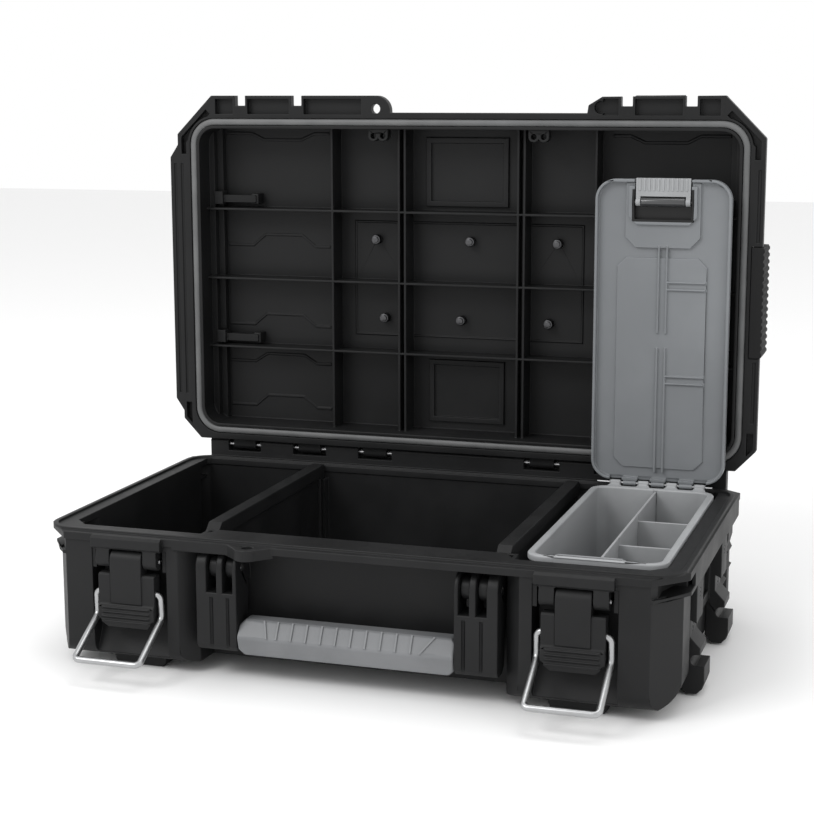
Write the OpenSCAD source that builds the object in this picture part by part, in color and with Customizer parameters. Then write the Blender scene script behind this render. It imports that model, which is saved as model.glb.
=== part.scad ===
// Hard tool case, shown open: moulded base and lid, two draw latches, a folding
// carrying handle, side rails, lift-out dividers and an organiser bin with its own lid.
// Millimetres. X runs left to right, Y from front to back and Z up.
// The origin lies at floor level under the middle of the base.

/* [Base] */
// Width over the base walls, between the corner posts
side_w = 504; // [480:1:540]
// Depth of the base, from the latch posts to the rear wall
base_d = 305; // [285:1:340]
// Height of the base, from its bottom to its rim
base_h = 107; // [98:1:125]
// Wall thickness of the base and the lid
wall = 3; // [2.4:0.1:4]
// Thickness of the base floor
floor_t = 3.5; // [2.5:0.1:5]
// Height of the feet
foot_h = 9; // [5:0.5:12]
// Radius of the bottom edges of the corner posts
edge_r = 14; // [8:1:20]
// Radius of the lower outer corners of the end posts
post_r = 19; // [8:1:20]
// How far the corner posts stand out from the side walls
post_out = 10; // [6:0.5:13]
// Distance from the middle to the inner side of each latch post
post_in = 128; // [122:1:131]
// Depth of the recess behind the carrying handle
recess_d = 38; // [36:1:44]
// Overhang of the rim past the side walls
rim_over = 15.5; // [14.5:0.5:20]
// Height of the band under the rim
rim_t = 8; // [6:0.5:9]
// Height of the hollow skirt along the sides
skirt_h = 21; // [18:1:28]

/* [Latches] */
// Distance from the middle to the centre of each latch
latch_x = 185; // [183:0.5:187]
// Width of a latch bay
bay_w = 66; // [65:0.5:68]
// Depth of a latch bay
bay_d = 22; // [21:0.5:26]
// Width of a latch lever
lever_w = 50; // [44:0.5:51]
// Length of a latch lever below its pin
lever_len = 56; // [50:1:58]
// Diameter of the bail wire
bail_wire = 5.4; // [4:0.1:5.4]
// Width of a bail between the centres of its legs
bail_w = 57; // [56.4:0.1:57.4]
// Diameter of the latch and hinge pins
pin_d = 4; // [3:0.1:4.4]

/* [Carrying handle] */
// Width of each handle arm
arm_w = 35; // [33:0.5:36]
// Width between the two arms
arm_gap = 181; // [176:1:183]
// Drop from the handle pin to the bottom of the grip
grip_drop = 69; // [64:1:71]
// Height of the grip
grip_h = 28; // [25:0.5:32]
// Diameter of the handle pins
handle_pin_d = 5; // [4:0.1:6]

/* [Lid] */
// Depth of the lid, from its rim to its outer face
lid_h = 42; // [38:0.5:50]
// Overhang of the lid flange past the base rim
lid_over = 11.5; // [10:0.5:14]
// Thickness of the lid flange
flange_t = 8.7; // [8.2:0.1:9]
// Height of the ribs inside the lid
rib_h = 24; // [14:1:25]
// Thickness of the ribs
rib_t = 2; // [1.6:0.1:3]
// Pitch of the cross ribs inside the lid
rib_pitch = 67; // [60:1:68]
// Width of the seal
seal_w = 6.4; // [5.5:0.1:7]
// Corner radius of the seal
seal_r = 22; // [18:1:28]
// Height of the hinge pins above the base rim
hinge_up = 9.5; // [9.2:0.1:10]
// Length of a hinge knuckle on the lid
knuckle_l = 23; // [18:0.5:28]

/* [Dividers and organiser] */
// Thickness of the dividers
divider_t = 12; // [8:0.5:14]
// Centre of the left divider
divider_left_x = -134; // [-138:0.5:-126]
// Centre of the right divider
divider_right_x = 115.5; // [108:0.5:118]
// Width of the organiser bin
bin_w = 111; // [104:1:112]
// Space between the organiser bin and the rear wall
bin_rear = 13; // [11:0.5:30]
// Width of the rolled rim of the organiser bin
bin_rim = 6; // [5:0.5:7]
// Wall thickness of the organiser bin
bin_wall = 2; // [1.6:0.1:3]
// Width of the organiser lid
box_lid_w = 120; // [114:1:120.5]

/* [Side rails and side handle] */
// How far the side rails stand out from the side walls
rail_out = 20; // [17:0.5:22]
// Width of each hook plate
hook_l = 31; // [24:1:36]
// Diameter of the slot in a hook plate
hook_slot = 9; // [7:0.5:10]
// Length of the side handle
side_handle_l = 171; // [150:1:190]
// Length of the grip on the side handle
side_grip_l = 98; // [80:1:120]

/* [Hidden] */

black = [0.15, 0.15, 0.16];
dark = [0.1, 0.1, 0.11];
steel = [0.8, 0.81, 0.82];
mid_grey = [0.5, 0.51, 0.53];
light_grey = [0.66, 0.67, 0.68];
seal_grey = [0.56, 0.57, 0.57];

big = 400;
clear = 0.3;
pin_clear = 0.06;
bore_clear = 0.08;
round_fn = 64;

// Levels and planes of the base
base_z = foot_h;
post_l = 73;
rim_z = foot_h + base_h;
floor_z = base_z + floor_t;
front_y = -158;
back_y = front_y + base_d;
recess_y = front_y + recess_d;
bay_y = front_y + bay_d;
rim_front = front_y - 2;
land_z = rim_z - 2;
side_x = side_w / 2;
post_x = side_x + post_out;
rim_x = side_x + rim_over;
inner_x = side_x - wall;
inner_back = back_y - wall;

// Lid hinge: the pins lie behind the rear wall and above the rim
hinge_y = back_y + 15;
hinge_z = rim_z + hinge_up;
hinge_x = [82, 149, 217];
slot_l = knuckle_l + 11;
barrel_r = 5;
knuckle_r = barrel_r - 0.4;
hinge_wall_x = rim_x - 14.5;
hinge_back = hinge_y + barrel_r + 3;
hinge_front = hinge_y - barrel_r + clear;

// Lid in its closed place; it is stored opened by a quarter turn
lid_z = rim_z + clear;
lid_top = lid_z + lid_h;
panel_z = lid_top - wall;
lid_x = rim_x + lid_over;
lid_back = hinge_front - 1.3;
seal_x = rim_x - 4.7;
seal_front = rim_front + 8.5;
seal_back = hinge_y - 15.2;
seal_in = 6.3;
seal_out = 5.7;
lid_front = rim_front - 0.5;
ear_front = lid_front - 15.5;
cell_x = [54.5, 60.5, 127];
rib_mid_y = -1;
eye_x = -78;
eye_y = rim_front - 4;
eye_r = 4.5;
end_step = 5.5;
plate_x = 112;
plate_y = [-58, 52];
bracket_y = [-77.5, 58];
bracket_reach = 42;

// Latch points: lever pin, bail pivot, bend and cross bar of the hanging bail
pin_r = pin_d / 2;
lever_y = front_y + 1;
lever_z = rim_z - 22;
bail_y = lever_y - 2.5;
bail_z = lever_z - 27;
bend_y = bail_y + 1;
bend_z = bail_z - 20;
bar_y = bail_y - 42.5;
bar_z = bail_z - 46;
wire_r = bail_wire / 2;
leg_x = bail_w / 2;
lever_half = lever_w / 2;
ear_half = lever_half + 2;
neck_half = 14;

// Carrying handle
handle_y = front_y + 13;
handle_z = rim_z - 24;
hub_r = 14;
arm_x0 = arm_gap / 2;
arm_x1 = arm_x0 + arm_w;
arm_front = handle_y - hub_r;
arm_back = handle_y + 12;
grip_z0 = handle_z - grip_drop;
grip_z1 = grip_z0 + grip_h;
handle_pin_r = handle_pin_d / 2;
lug_t = 7;
lug_gap = 0.8;
lug_x = [arm_x0 + 4.2, arm_x0 + 18.2];

// Organiser
bin_x1 = inner_x - 1;
bin_x0 = bin_x1 - bin_w;
bin_y0 = bay_y + 9;
bin_y1 = inner_back - bin_rear;
bin_z0 = floor_z + clear;
bin_top = rim_z + 0.5;
bin_mid = (bin_x0 + bin_x1) / 2;
bin_in_x0 = bin_x0 + bin_rim;
bin_in_x1 = bin_x1 - bin_rim;
bin_in_y0 = bin_y0 + bin_rim;
bin_in_y1 = bin_y1 - bin_rim;
box_hinge_y = bin_y1 + 4.5;
box_hinge_z = bin_top + 2;
box_lid_z = bin_top + clear;
box_lid_t = 9;
box_lid_x0 = bin_mid + 1.2 - box_lid_w / 2;
box_lid_x1 = box_lid_x0 + box_lid_w;
box_lid_front = bin_y0 - 10.5;
box_lid_back = box_hinge_y - 2.8;
box_eye_x = [-36, -10.5, 15, 40];
box_pin_r = 1.2;
long_div_x = bin_mid + 2;
cross_y = [(bin_y0 + bin_y1) / 2 - 46, (bin_y0 + bin_y1) / 2 + 38];
latch_half = 30;
latch_mid_y = box_lid_front + 24;
roller_y = box_lid_front + 20;
roller_z = box_lid_z + 2.2;
roller_r = 4;
roller_pin_r = 1.5;

// Side rails and side handle
rail_x = side_x + rail_out;
plate_margin = 4;
hook_y = [front_y + post_l + plate_margin + 0.5 + hook_l / 2, back_y - 77];
hook_cz = foot_h + 20;
screw_z = [hook_cz + 23, hook_cz + 52];
strap_z = [hook_cz + 12, hook_cz + 40];
strap_h = 8;
rack_y = [back_y - 54, back_y - 28];
rack_tooth = [[0, -80], [9, -74], [4, -70.5], [13, -59.5], [5, -55.5], [13, -44], [11, -40],
              [13, -32], [13, -25], [0, -25]];
side_handle_y = 4;
side_handle_z = lid_z + 30;
grip_x = rim_x + 2.4;

// ---------------------------------------------------------------- shared shapes

// A box given by its limits
module block(x0, x1, y0, y1, z0, z1) {
  translate([x0, y0, z0])
    cube([x1 - x0, y1 - y0, z1 - z0]);
}

// A plan outline given thickness
module slab(points, z0, z1) {
  translate([0, 0, z0])
    linear_extrude(z1 - z0)
      polygon(points);
}

// A YZ profile swept along X
module along_x(x0, x1) {
  translate([x0, 0, 0])
    rotate([90, 0, 90])
      linear_extrude(x1 - x0)
        children();
}

// An XZ profile swept along Y
module along_y(y0, y1) {
  translate([0, y1, 0])
    rotate([90, 0, 0])
      linear_extrude(y1 - y0)
        children();
}

// A round bar along X
module rod(x0, x1, y, z, r) {
  translate([x0, y, z])
    rotate([0, 90, 0])
      cylinder(h = x1 - x0, r = r, $fn = round_fn);
}

// A rectangle with its lower corners rounded
module round_bottom(a0, a1, z0, z1, r) {
  translate([a0, z0 + r])
    square([a1 - a0, z1 - z0 - r]);
  translate([a0 + r, z0])
    square([a1 - a0 - 2 * r, r + 1]);
  for (a = [a0 + r, a1 - r])
    translate([a, z0 + r])
      circle(r = r, $fn = round_fn);
}

// A rectangle with all its corners rounded
module round_rect(x0, x1, y0, y1, r) {
  translate([x0 + r, y0])
    square([x1 - x0 - 2 * r, y1 - y0]);
  translate([x0, y0 + r])
    square([x1 - x0, y1 - y0 - 2 * r]);
  for (x = [x0 + r, x1 - r], y = [y0 + r, y1 - r])
    translate([x, y])
      circle(r = r, $fn = round_fn);
}

// Outline of the seal line, moved outwards by d
module seal_outline(d) {
  round_rect(-seal_x - d, seal_x + d, seal_front - d, seal_back + d, seal_r + d);
}

// The right half of an outline, completed by its mirror image
function both_sides(half) =
  concat(half, [for (i = [len(half) - 1:-1:0]) if (half[i][0] != 0) [-half[i][0], half[i][1]]]);

// Points of an arc
function arc(cx, cy, r, a0, a1, steps) =
  [for (i = [0:steps]) let (a = a0 + (a1 - a0) * i / steps) [cx + r * cos(a), cy + r * sin(a)]];

// Opens what is drawn in its closed place by a quarter turn about a hinge
module opened(y, z) {
  translate([0, y, z])
    rotate([-90, 0, 0])
      translate([0, -y, -z])
        children();
}

module on_both_sides() {
  children();
  mirror([1, 0, 0])
    children();
}

// ---------------------------------------------------------------- base

// Right half of the base outline, set in by t
function base_half(t) = [
  [0, recess_y + t],
  [post_in + t, recess_y + t],
  [post_in + 1 + t, front_y + 14],
  [post_in + 14 + t, front_y + t],
  [post_x - 20 - t / 2, front_y + t],
  [post_x - t, front_y + 30],
  [post_x - t, front_y + post_l - 10 - t / 2],
  [side_x - t, front_y + post_l - t / 2],
  [side_x - t, back_y - 25 + t / 2],
  [post_x - 2 - t, back_y - 19 + t / 2],
  [post_x - 2 - t, back_y - 6 - t / 2],
  [side_x - 2 - t, back_y - t],
  [0, back_y - t]];

module tub(t, z0, z1) {
  intersection() {
    slab(both_sides(base_half(t)), z0, z1);
    along_x(-big, big)
      round_bottom(front_y + t, back_y - t, z0, z1 + 1, edge_r - t);
    along_y(-big, big)
      round_bottom(-post_x + t, post_x - t, z0, z1 + 1, post_r - t);
  }
}

// Space of one latch bay, with a ramp at its foot, grown by t
module bay(t) {
  half = bay_w / 2 + t;
  along_x(latch_x - half, latch_x + half)
    polygon([
      [front_y - 20, base_z + 4 - t], [front_y + 5, base_z + 4 - t],
      [bay_y + t, base_z + 40 - t], [bay_y + t, rim_z - 13 + t], [front_y - 20, rim_z - 13 + t]]);
}

// Open niche in the chamfered front corner, between the rim and the skirt, grown by t
module corner_niche(t) {
  slab([[post_x - 16 - t, front_y - 2], [post_x + 6, front_y - 2], [post_x + 6, front_y + 44 + t],
        [post_x - 10 - t, front_y + 44 + t], [post_x - 16 - t, front_y + 26 + t]],
       rim_z - skirt_h + wall - t, rim_z - rim_t + t);
}

module hollow_base() {
  difference() {
    tub(0, base_z, land_z);
    difference() {
      tub(wall, floor_z, rim_z + 1);
      on_both_sides() {
        bay(wall);
        corner_niche(wall);
      }
    }
    on_both_sides() {
      bay(0);
      corner_niche(0);
    }
  }
}

rim_half = [
  [0, rim_front],
  [rim_x - 25, rim_front],
  [rim_x, rim_front + 28],
  [rim_x, back_y - 2],
  [hinge_wall_x, back_y + 9],
  [hinge_wall_x, hinge_back],
  [0, hinge_back]];

mouth_half = [
  [0, recess_y + wall],
  [post_in - 8, recess_y + wall],
  [post_in + 4, bay_y + wall],
  [inner_x - 12, bay_y + wall],
  [inner_x, bay_y + wall + 12],
  [inner_x, seal_back - 8],
  [inner_x - 4, seal_back - 4],
  [0, seal_back - 4]];

// Flat rim all round, with the ridge that meets the seal
module rim_plate() {
  difference() {
    slab(both_sides(rim_half), rim_z - rim_t, land_z);
    slab(both_sides(mouth_half), rim_z - rim_t - 1, land_z + 1);
  }
  difference() {
    translate([0, 0, land_z - 0.5])
      linear_extrude(rim_z - land_z + 0.5)
        seal_outline(2.2);
    translate([0, 0, land_z - 1])
      linear_extrude(rim_z - land_z + 2)
        seal_outline(-2.2);
  }
}

// Hollow skirt along one side, open at the front corner
module skirt() {
  z0 = rim_z - skirt_h;
  skirt_plan = [
    [side_x - 1, front_y + 40], [rim_x, front_y + 36], [rim_x, back_y - 8],
    [side_x - 1, back_y - 2]];
  slab(skirt_plan, z0, z0 + wall);
  block(rim_x - wall, rim_x, front_y + 50, back_y - 8, z0, rim_z - rim_t + 1);
  slab([[post_x - 21, front_y], [post_x - 18, front_y - 1.5], [rim_x, front_y + 31],
        [rim_x, front_y + 50], [side_x, front_y + 50], [side_x, front_y + 10]], z0, z0 + wall);
  for (y = [front_y + 110, front_y + 180, back_y - 60])
    block(side_x - 1, rim_x - 1, y - 1.5, y + 1.5, z0, rim_z - rim_t + 1);
}

// Raised wall behind the rim that carries the hinge pins
module hinge_wall() {
  along_x(-hinge_wall_x, hinge_wall_x)
    union() {
      translate([hinge_front, rim_z - rim_t])
        square([hinge_back - hinge_front, hinge_z - rim_z + rim_t]);
      translate([hinge_front, hinge_z - 0.1])
        square([hinge_back - hinge_front, 2.1]);
      translate([hinge_front + 3, hinge_z])
        square([hinge_back - hinge_front - 6, barrel_r]);
      for (y = [hinge_front + 3, hinge_back - 3])
        translate([y, hinge_z + 2])
          circle(r = 3, $fn = round_fn);
    }
  for (x = [-245, -182, -115.5, -48, 48, 115.5, 182, 245])
    along_x(x - 2, x + 2)
      polygon([[back_y - 1, rim_z - 32], [back_y + 3, rim_z - 32], [hinge_back - 1, rim_z - rim_t + 1],
               [back_y - 1, rim_z - rim_t + 1]]);
}

module hinge_slots() {
  for (x = hinge_x, s = [-1, 1]) {
    block(s * x - slot_l / 2, s * x + slot_l / 2, hinge_front - 1, hinge_y + barrel_r,
          hinge_z - barrel_r - 1, hinge_z + big);
    rod(s * x - slot_l / 2 - 5.2, s * x + slot_l / 2 + 5.2, hinge_y, hinge_z, pin_r + pin_clear);
  }
}

// Band and two ears that carry one latch lever
module latch_bracket() {
  ear_profile = concat(
    [[bay_y + 1, rim_z - 12], [lever_y - 6, rim_z - 12]],
    arc(lever_y, lever_z, 7, 180, 300, 12),
    [[bay_y + 1, lever_z - 2]]);
  along_x(latch_x - 31, latch_x + 31)
    polygon([[bay_y - 1, rim_z - 13], [lever_y - 6, rim_z - 13], [lever_y - 8, rim_z - 11],
             [lever_y - 8, rim_z - 4], [lever_y - 5, land_z], [bay_y - 1, land_z]]);
  for (s = [-1, 1])
    along_x(latch_x + (s > 0 ? neck_half + 0.8 : -ear_half), latch_x + (s > 0 ? ear_half : -neck_half - 0.8))
      polygon(ear_profile);
  for (s = [-1, 1])
    block(latch_x + (s > 0 ? ear_half + 2.5 : -bay_w / 2 - 1), latch_x + (s > 0 ? bay_w / 2 + 1 : -ear_half - 2.5),
          front_y + 1, bay_y + 1, lever_z - 9, rim_z - 12);
}

// Two lugs that carry one handle arm
module handle_lugs() {
  for (x = lug_x)
    along_x(x, x + lug_t)
      union() {
        translate([handle_y, handle_z])
          circle(r = 9, $fn = round_fn);
        polygon([[handle_y, handle_z + 9], [recess_y + 1, handle_z + 12], [recess_y + 1, handle_z - 16],
                 [handle_y, handle_z - 9]]);
      }
}

// Padlock eye on the rim
module base_eye() {
  along = 14;
  translate([eye_x, eye_y, rim_z - 11])
    cylinder(h = 9, r = 11, $fn = round_fn);
  slab([[eye_x - along - 6, rim_front + 1], [eye_x - 8, eye_y - 7], [eye_x + 8, eye_y - 7],
        [eye_x + along + 6, rim_front + 1]], rim_z - 11, land_z);
  along_x(eye_x - 68, eye_x + 12)
    polygon([[rim_front, rim_z - 10.5], [rim_front + 1, rim_z - 11], [rim_front + 3.5, rim_z - 11],
             [rim_front + 3.5, land_z - 1], [rim_front, land_z - 1]]);
}

module feet() {
  for (s = [-1, 1])
    translate([s * latch_x, 0, 0])
      for (y = [front_y + 16, back_y - 40])
        along_y(y, y + 26)
          polygon([[-22, 1.5], [-20.5, 0], [20.5, 0], [22, 1.5], [24, base_z + 1], [-24, base_z + 1]]);
  block(-30, 30, back_y - 40, back_y - 14, 0, base_z + 1);
}

// Upright guides that hold the dividers at the rear wall and the floor
module divider_guides() {
  for (x = [divider_left_x, divider_right_x], s = [-1, 1]) {
    gx = x + s * (divider_t / 2 + clear + 1.5);
    block(gx - 1.5, gx + 1.5, seal_back - 12, inner_back + 1, floor_z - 1, rim_z - 14);
    block(gx - 1.5, gx + 1.5, -60, 60, floor_z - 1, floor_z + 4);
  }
}

module base_shell() {
  color(black)
    difference() {
      union() {
        hollow_base();
        rim_plate();
        hinge_wall();
        on_both_sides() {
          skirt();
          latch_bracket();
          handle_lugs();
        }
        base_eye();
        feet();
        divider_guides();
      }
      hinge_slots();
      on_both_sides() {
        rod(latch_x - ear_half - 1.5, latch_x + ear_half + 1.5, lever_y, lever_z, pin_r + pin_clear);
        rod(arm_x0, arm_x1, handle_y, handle_z, handle_pin_r + pin_clear);
      }
      translate([eye_x, eye_y, rim_z - 12])
        cylinder(h = 14, r = eye_r, $fn = round_fn);
      for (s = [-1, 1], y = hook_y, z = screw_z)
        rod(s > 0 ? side_x - 2 : -side_x - 1, s > 0 ? side_x + 1 : -side_x + 2,
            y, z, 1.5 + pin_clear);
    }
}

// ---------------------------------------------------------------- side rails

// Hook plates and the toothed rear plate on the right side
module side_rail() {
  tip = rail_x;
  x0 = side_x + 0.05;
  for (y = hook_y)
    difference() {
      union() {
        along_y(y - hook_l / 2, y + hook_l / 2)
          union() {
            polygon([[x0, 8], [x0 + 6, 1.5], [tip - 6, 1.5], [tip - 1.5, 6], [tip, 11], [tip, hook_cz - 4.5],
                     [x0, hook_cz - 4.5]]);
            polygon([[x0, hook_cz - 5], [tip - 7, hook_cz - 5], [tip - 7, hook_cz + 4],
                     [tip - 3.5, hook_cz + 4.5], [tip - 3.5, hook_cz + 10], [tip - 12, hook_cz + 19],
                     [tip - 12, hook_cz + 64], [x0, hook_cz + 64]]);
            polygon([[x0, hook_cz + 36], [tip - 7, hook_cz + 30], [tip - 7, hook_cz + 64],
                     [x0, hook_cz + 64]]);
          }
        block(x0, x0 + 3, y - hook_l / 2 - plate_margin, y + hook_l / 2 + plate_margin,
              hook_cz + 12, hook_cz + 60);
      }
      along_y(y - hook_l, y + hook_l)
        union() {
          translate([tip - 6.5, hook_cz])
            circle(r = hook_slot / 2, $fn = round_fn);
          translate([tip - 6.5, hook_cz - hook_slot / 2])
            square([20, hook_slot]);
        }
      for (z = screw_z) {
        face = z > hook_cz + 40 ? tip - 7 : tip - 12;
        rod(x0 - 1, tip + 1, y, z, 1.5 + pin_clear);
        rod(face - 2.1, tip + 1, y, z, 3.5);
      }
    }
  for (z = strap_z)
    block(x0, x0 + 3, hook_y[0], hook_y[1] - hook_l / 2 + 1, z, z + strap_h);
  block(x0, x0 + 3, hook_y[1] + hook_l / 2 - 1, rack_y[0] + 1, strap_z[1], strap_z[1] + strap_h);
  along_y(rack_y[0], rack_y[1])
    polygon([for (p = rack_tooth) [x0 + p[0], rim_z + p[1]]]);
}

module side_rail_left() {
  color(black)
    mirror([1, 0, 0])
      side_rail();
}

module side_rail_right() {
  color(black)
    side_rail();
}

module side_rail_screws() {
  color(steel)
    for (s = [-1, 1], y = hook_y, z = screw_z) {
      head = z > hook_cz + 40 ? rail_x - 9 : rail_x - 14;
      translate([s * (side_x - 1.9), y, z])
        rotate([0, s * 90, 0]) {
          cylinder(h = head - side_x + 2.1, r = 1.5, $fn = round_fn);
          translate([0, 0, head - side_x + 2])
            cylinder(h = 1.8, r = 3.2, $fn = round_fn);
        }
    }
}

// ---------------------------------------------------------------- lid

// Outline of the lid flange, with the latch ears and the padlock ear
ear_left = 121;
ear_corner = 243;
flange_outline = concat(
  [[ear_left, lid_front], [ear_left + 1, lid_front - 7], [ear_left + 13.5, ear_front + 1],
   [ear_corner, ear_front],
   [lid_x, ear_front + 36.5], [lid_x, lid_back - 19], [lid_x - 18, lid_back],
   [-lid_x + 18, lid_back], [-lid_x, lid_back - 19], [-lid_x, 129.5], [-lid_x - 8, 117.5],
   [-lid_x - 8, -117.5], [-lid_x, -129.5], [-lid_x, ear_front + 36.5], [-ear_corner, ear_front],
   [eye_x, ear_front]],
  arc(eye_x, ear_front + 14, 14, -90, 0, 10),
  [[eye_x + 14, lid_front]]);

// Pocket under the flange between two x limits
module ear_pocket(x0, x1) {
  block(x0, x1, ear_front + 3, seal_front - seal_out - 1.5, lid_z - 1, lid_z + flange_t - 2.6);
}

module flange() {
  difference() {
    slab(flange_outline, lid_z, lid_z + flange_t);
    translate([0, 0, lid_z - 1])
      linear_extrude(flange_t + 2)
        seal_outline(seal_out - 2);
    for (s = [-1, 1], d = [-bail_w / 2, bail_w / 2])
      block(s * latch_x + d - 5.2, s * latch_x + d + 5.2, ear_front - 1, ear_front + 9.4,
            lid_z - 1, lid_z + flange_t + 1);
    for (s = [-1, 1]) {
      ear_pocket(s * latch_x - bail_w / 2 + 7.5, s * latch_x + bail_w / 2 - 7.5);
      ear_pocket(s > 0 ? latch_x + bail_w / 2 + 7.5 : -ear_corner + 4,
                 s > 0 ? ear_corner - 4 : -latch_x - bail_w / 2 - 7.5);
    }
    ear_pocket(-latch_x + bail_w / 2 + 7.5, eye_x - 14);
    ear_pocket(ear_left + 14, latch_x - bail_w / 2 - 7.5);
    translate([ear_left + 12, ear_front + 10.5, lid_z - 1])
      cylinder(h = flange_t - 1.6, r = 5.5, $fn = round_fn);
    on_both_sides() {
      slab([[lid_x - 30, ear_front + 13], [lid_x - 4, ear_front + 39], [lid_x - 4, -121],
            [seal_x + seal_out + 1.6, -121], [seal_x + seal_out + 1.6, ear_front + 44],
            [lid_x - 34, ear_front + 17]], lid_z - 1, lid_z + flange_t - 2.6);
      slab([[seal_x + seal_out + 1.6, 121], [lid_x - 3, 121], [lid_x - 3, lid_back - 20],
            [seal_x + seal_out + 1.6, lid_back - 14]], lid_z - 1, lid_z + flange_t - 2.6);
    }
    block(-lid_x - 4, -lid_x - 1.5, -112, 112, lid_z - 1, lid_z + 1.2);
    block(-lid_x + 3, -lid_x + 5.5, -112, 112, lid_z - 1, lid_z + 1.2);
    block(lid_x - 5.5, lid_x - 3, -112, side_handle_y - side_grip_l / 2 - 4, lid_z - 1, lid_z + 1.2);
    block(lid_x - 5.5, lid_x - 3, side_handle_y + side_grip_l / 2 + 4, 112, lid_z - 1, lid_z + 1.2);
    block(grip_x - 0.4, lid_x + 1, side_handle_y - side_grip_l / 2 - 0.5,
          side_handle_y + side_grip_l / 2 + 0.5, lid_z - 1, lid_z + flange_t + 1);
  }
  for (s = [-1, 1])
    block(s * latch_x - 22, s * latch_x + 22, ear_front, ear_front + 1.8,
          lid_z + flange_t - 1, lid_z + flange_t + 2);
}

// Outer walls and panel of the lid, its outer edges rounded
module lid_body(d, z0, z1, r) {
  y0 = seal_front - d;
  y1 = seal_back + d;
  x1 = seal_x + d;
  intersection() {
    translate([0, 0, z0])
      linear_extrude(z1 - z0)
        seal_outline(d);
    translate([0, 0, z0 + z1])
      mirror([0, 0, 1]) {
        along_x(-big, big)
          round_bottom(y0, y1, z0, z1, r);
      }
    translate([0, 0, z0 + z1])
      mirror([0, 0, 1]) {
        along_y(-big, big)
          round_bottom(-x1, x1, z0, z1, r);
      }
  }
}

module lid_ribs() {
  x1 = seal_x - seal_in + 1;
  y0 = seal_front + seal_in - 1;
  y1 = seal_back - seal_in + 1;
  z0 = panel_z - rib_h;
  for (x = cell_x, s = [-1, 1])
    block(s * x - rib_t / 2, s * x + rib_t / 2, y0, y1, z0, panel_z + 1);
  for (i = [-1:1])
    block(-x1, x1, rib_mid_y + i * rib_pitch - rib_t / 2, rib_mid_y + i * rib_pitch + rib_t / 2,
          z0, panel_z + 1);
  on_both_sides() {
    block(cell_x[0], cell_x[1], y0, y1, panel_z - rib_h / 2, panel_z + 1);
    block(x1 - 1 - end_step, x1, y0, y1, panel_z - 16, panel_z + 1);
    block(x1 - 1 - 2 * end_step, x1, y0, y1, panel_z - 8, panel_z + 1);
  }
}

// A raised rectangular line on the inner face of the lid panel
module panel_frame(x0, x1, y0, y1, w, h) {
  difference() {
    block(x0, x1, y0, y1, panel_z - h, panel_z + 0.5);
    block(x0 + w, x1 - w, y0 + w, y1 - w, panel_z - h - 1, panel_z + 1);
  }
}

// A raised line with a stepped middle across one outer bay; rise lifts the middle
module stepped_line(y, rise) {
  path = [[-244, y], [-217.5, y], [-205, y - rise], [-166.5, y - rise], [-153, y], [-138, y]];
  slab(concat(path, [for (i = [len(path) - 1:-1:0]) [path[i][0], path[i][1] + 2.4]]),
       panel_z - 0.9, panel_z + 0.5);
}

// Catch block under the front wall of the lid
module lid_catch(x) {
  y0 = seal_front + seal_in - 0.5;
  difference() {
    union() {
      block(x - 9.6, x + 9.6, y0, y0 + 5, lid_z + 4, lid_z + 14);
      for (s = [-1, 1])
        translate([x + s * 4.6, y0 + 6.5, lid_z + 4])
          cylinder(h = 10, r = 5, $fn = round_fn);
    }
    for (s = [-1, 1])
      translate([x + s * 4.6, y0 + 6.5, lid_z + 3])
        cylinder(h = 12, r = 2.6, $fn = round_fn);
  }
}

// Arm and knuckle of one lid hinge
module lid_knuckle(x) {
  rod(x - knuckle_l / 2, x + knuckle_l / 2, hinge_y, hinge_z, knuckle_r);
  along_x(x - knuckle_l / 2, x + knuckle_l / 2)
    polygon([[lid_back - 6, hinge_z - knuckle_r], [hinge_y, hinge_z - knuckle_r],
             [hinge_y, hinge_z + knuckle_r], [lid_back - 12, hinge_z + knuckle_r],
             [lid_back - 12, lid_z + flange_t - 1], [lid_back - 6, lid_z + flange_t - 1]]);
}

module lid_shell_closed() {
  difference() {
    union() {
      flange();
      translate([0, 0, lid_z])
        linear_extrude(flange_t + 3)
          seal_outline(seal_out);
      lid_body(-seal_in + wall + 1.4, lid_z + 2, lid_top, 12);
      for (x = hinge_x, s = [-1, 1])
        lid_knuckle(s * x);
      for (s = [-1, 1], x = [135, 235])
        along_x(s * x - 1.5, s * x + 1.5)
          polygon([[ear_front + 4, lid_z + flange_t - 1], [seal_front, lid_z + flange_t - 1],
                   [seal_front, lid_z + 30], [seal_front - 4, lid_z + 30]]);
    }
    translate([0, 0, lid_z - 1])
      linear_extrude(panel_z - lid_z + 1)
        seal_outline(-seal_in);
    difference() {
      translate([0, 0, lid_z - 1])
        linear_extrude(6)
          seal_outline(seal_w / 2 + 0.2);
      translate([0, 0, lid_z - 2])
        linear_extrude(8)
          seal_outline(-seal_w / 2 - 0.2);
    }
    for (x = hinge_x, s = [-1, 1])
      rod(s * x - knuckle_l, s * x + knuckle_l, hinge_y, hinge_z, pin_r + bore_clear);
    translate([eye_x, eye_y, lid_z - 1])
      cylinder(h = flange_t + 2, r = eye_r, $fn = round_fn);
    bolt_holes(bolt_r + pin_clear, panel_z - 1, lid_top + 1);
    for (y = [-1, 1])
      rod(seal_x - seal_in - 1, seal_x + 10, side_handle_y + y * (side_handle_l / 2 - 9),
          side_handle_z, 2 + pin_clear);
  }
  lid_ribs();
  lid_catch(-77);
  lid_catch(76);
  panel_frame(-40, 40, -137, -73, 5, 3);
  panel_frame(-37, 37, 73, 133, 5, 3);
  panel_frame(-plate_x, plate_x, plate_y[0], plate_y[1], 1.8, 1);
  on_both_sides() {
    stepped_line(-141, -6);
    stepped_line(-33, 10.5);
    stepped_line(45, 10.5);
    stepped_line(82, 8);
    stepped_line(126, 10.5);
  }
}

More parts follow.
